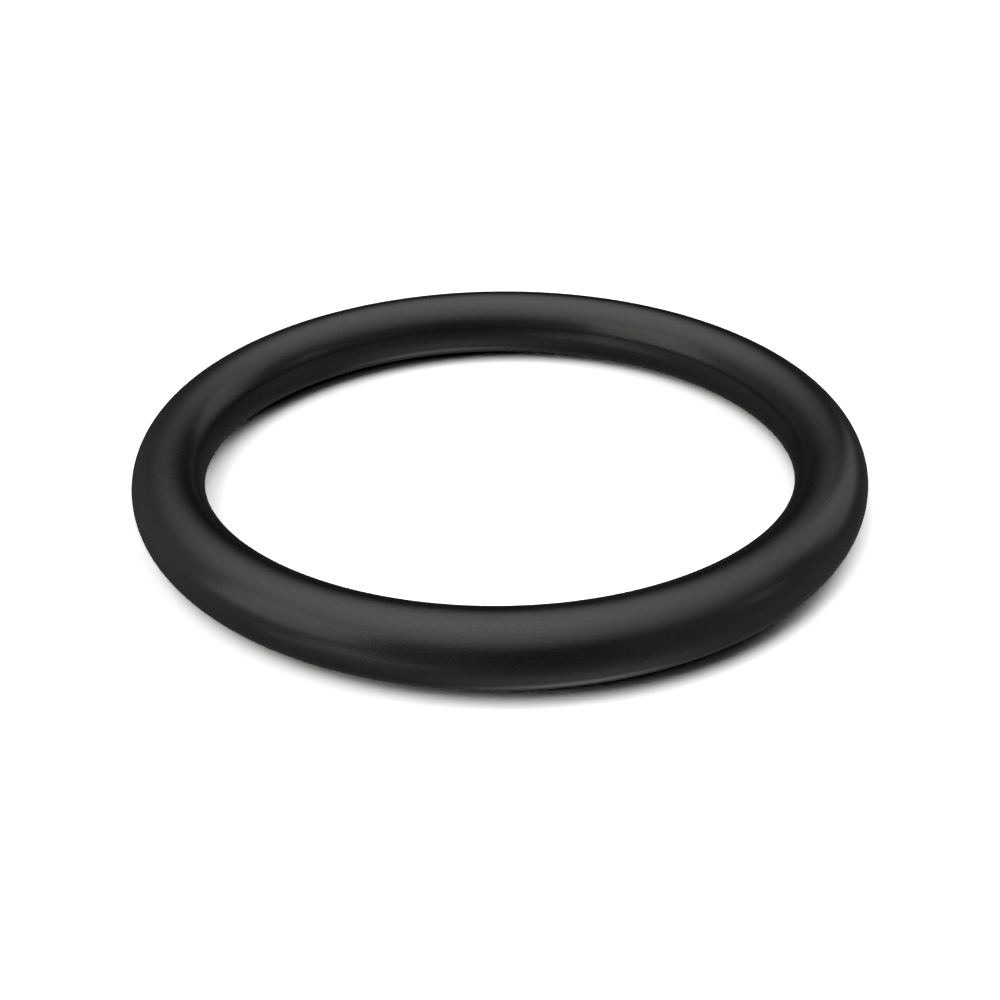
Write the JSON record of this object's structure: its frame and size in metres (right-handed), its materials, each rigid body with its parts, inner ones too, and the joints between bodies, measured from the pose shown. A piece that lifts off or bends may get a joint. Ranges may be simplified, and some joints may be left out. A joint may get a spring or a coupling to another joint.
{
  "type": "rubber o-ring",
  "caption": "Plain black rubber o-ring of round section, a seal for a groove round a shaft, in a bore or between two flat faces.",
  "frame": {"origin": "centre of the ring, on its mid plane", "axes": "+Z along the ring's axis; the ring is the same all the way round, and lies flat on the plane z = -1.5 mm"},
  "size_m": [0.031, 0.031, 0.003],
  "materials": {
    "rubber": "satin moulded rubber, near black, with a very fine even grain"
  },
  "bodies": {
    "root": {"o_ring": "rubber"}
  },
  "joints": []
}
